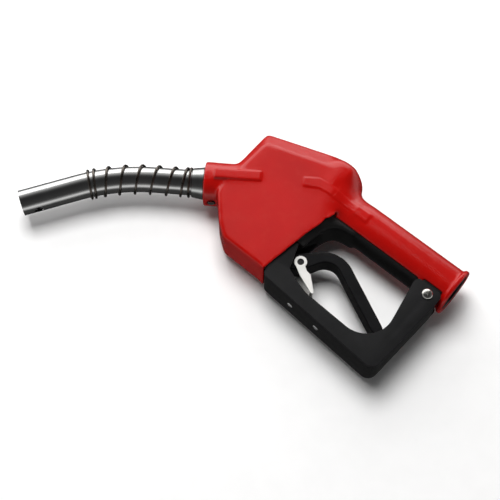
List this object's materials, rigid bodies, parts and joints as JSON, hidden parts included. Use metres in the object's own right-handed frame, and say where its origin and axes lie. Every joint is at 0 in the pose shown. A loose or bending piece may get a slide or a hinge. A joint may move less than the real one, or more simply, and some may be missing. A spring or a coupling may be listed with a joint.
{
  "type": "fuel nozzle",
  "caption": "Automatic-shutoff fuel dispensing nozzle with a bent spout and guard spring, moulded cover, squeeze lever, hold-open latch and hand guard.",
  "frame": {"origin": "centre of the inlet thread's mouth, at the end of the handle", "axes": "+X along the handle, out of the inlet; +Y to the nozzle's top, away from the lever; +Z across it, out of the plane in which the spout, lever and guard lie"},
  "size_m": [0.3673, 0.229, 0.0488],
  "materials": {
    "cover_vinyl": "soft moulded vinyl, slightly glossy and uneven",
    "casting_black": "black satin paint on the aluminium casting",
    "guard_black": "black satin powder coat on sheet steel",
    "lever_black": "black satin paint",
    "spout_steel": "polished plated tube",
    "ferrule_chrome": "polished turned ring",
    "spring_wire": "dark oiled spring wire",
    "latch_steel": "bright zinc-plated stamping",
    "steel_bright": "turned and ground",
    "pivot_steel": "oiled black steel",
    "screw_zinc": "bright zinc plate",
    "rivet_aluminium": "plain",
    "cap_aluminium": "machined",
    "valve_brass": "machined",
    "valve_plastic": "moulded acetal",
    "seal_rubber": "moulded",
    "inner_spring": "spring wire"
  },
  "bodies": {
    "nozzle": {"nozzle_body": "casting_black", "scuff_cover": "cover_vinyl", "spout_tube": "spout_steel", "vent_tube": "valve_plastic", "tip_fitting": "valve_plastic", "spout_ferrule": "ferrule_chrome", "ferrule_o_rings": "seal_rubber", "spout_set_screw": "screw_zinc", "spout_spring": "spring_wire", "check_seat": "valve_brass", "check_guide": "valve_plastic", "check_spring": "inner_spring", "main_seat": "valve_brass", "main_spring": "inner_spring", "main_cap": "cap_aluminium", "cap_o_ring": "seal_rubber", "stem_seal": "seal_rubber", "packing_nut": "valve_brass", "inlet_screen": "steel_bright", "latch_ring": "steel_bright", "diaphragm": "seal_rubber", "diaphragm_cap": "cap_aluminium", "cap_screws": "screw_zinc", "diaphragm_spring": "inner_spring", "plunger_spring": "inner_spring", "lever_guard": "guard_black", "guard_front_screws": "screw_zinc", "guard_rear_screw": "screw_zinc", "guard_rear_nut": "screw_zinc", "rack_rivets": "rivet_aluminium", "hold_rack": "guard_black"},
    "main_valve": {"main_poppet": "valve_brass", "poppet_disc": "seal_rubber", "valve_stem": "steel_bright"},
    "check_valve": {"check_poppet": "valve_plastic"},
    "vacuum_latch": {"latch_pin": "steel_bright", "diaphragm_plate": "valve_brass"},
    "trip_stem": {"trip_plunger": "steel_bright", "latch_balls": "steel_bright"},
    "squeeze_lever": {"lever": "lever_black", "lever_roller": "steel_bright", "fulcrum_pin": "steel_bright", "latch_pivot": "pivot_steel", "latch_spring": "inner_spring"},
    "hold_open_latch": {"hold_latch": "latch_steel"}
  },
  "joints": [
    {"name": "trip_drop", "type": "slide", "parent": "nozzle", "child": "trip_stem", "axis": [0.3305, -0.9438, 0], "range_m": [0, 0.0065], "stiffness_N_per_m": 900, "springref_m": -0.012},
    {"name": "lever_squeeze", "type": "hinge", "parent": "trip_stem", "child": "squeeze_lever", "pos_m": [-0.15981, -0.07978, 0], "axis": [0, 0, 1], "range_deg": [0, 15], "stiffness_Nm_per_rad": 1.2, "springref_deg": -34.38},
    {"name": "latch_swing", "type": "hinge", "parent": "squeeze_lever", "child": "hold_open_latch", "pos_m": [-0.1198, -0.0687, 0], "axis": [0, 0, 1], "range_deg": [-15, 0], "stiffness_Nm_per_rad": 0.02, "springref_deg": 68.75},
    {"name": "valve_lift", "type": "slide", "parent": "nozzle", "child": "main_valve", "axis": [0, 1, 0], "range_m": [0, 0.00337]},
    {"name": "check_open", "type": "slide", "parent": "nozzle", "child": "check_valve", "axis": [-0.8111, -0.585, 0], "range_m": [0, 0.003], "stiffness_N_per_m": 300, "springref_m": -0.004},
    {"name": "vacuum_pull", "type": "slide", "parent": "nozzle", "child": "vacuum_latch", "axis": [-0.3305, 0.9438, 0], "range_m": [0, 0.0028], "stiffness_N_per_m": 400, "springref_m": -0.003}
  ],
  "couplings": [
    {"joint": "valve_lift", "follows": "lever_squeeze", "m_per_rad": 0.01286}
  ]
}
